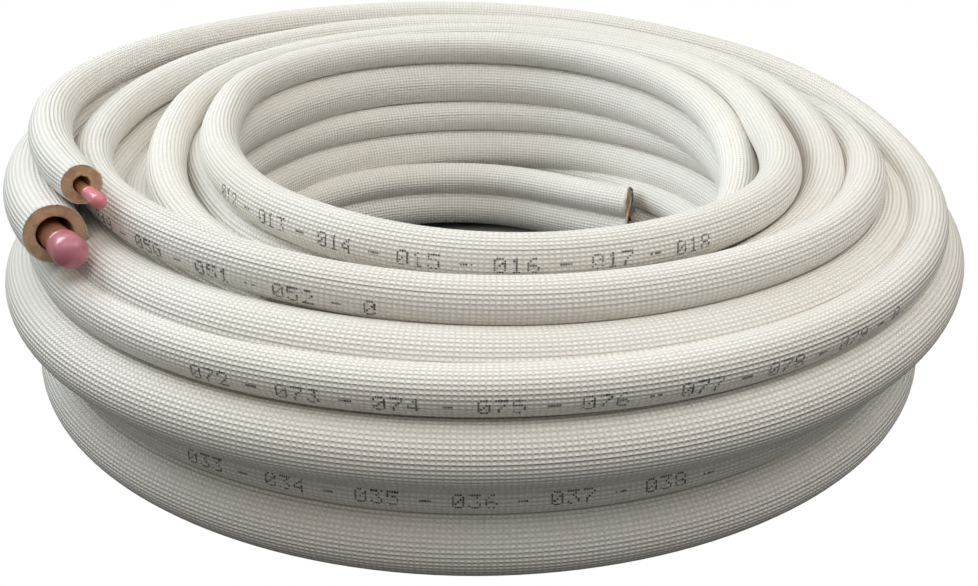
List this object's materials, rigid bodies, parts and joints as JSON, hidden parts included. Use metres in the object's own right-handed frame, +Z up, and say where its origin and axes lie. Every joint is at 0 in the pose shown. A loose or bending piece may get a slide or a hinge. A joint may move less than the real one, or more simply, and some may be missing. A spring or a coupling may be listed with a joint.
{
  "type": "insulated copper tube coil",
  "caption": "Coil of copper refrigerant tube in white foam sleeves, a large and a small tube wound side by side into a low ring with an open bore and capped tube ends.",
  "frame": {"origin": "on the coil's axis, at the floor that the coil lies on", "axes": "+Z up along the coil's axis; -Y towards the viewer, so that the capped ends are at the front left (-X, -Y)"},
  "size_m": [0.6591, 0.6591, 0.1827],
  "materials": {
    "foam_skin": "embossed film, satin",
    "copper": "dull drawn copper",
    "large_cap_plastic": "moulded, glossy",
    "small_cap_plastic": "moulded, glossy"
  },
  "bodies": {
    "root": {"foam_sleeves": "foam_skin", "large_copper_tube": "copper", "small_copper_tube": "copper", "large_end_cap": "large_cap_plastic", "small_end_cap": "small_cap_plastic"}
  },
  "joints": []
}
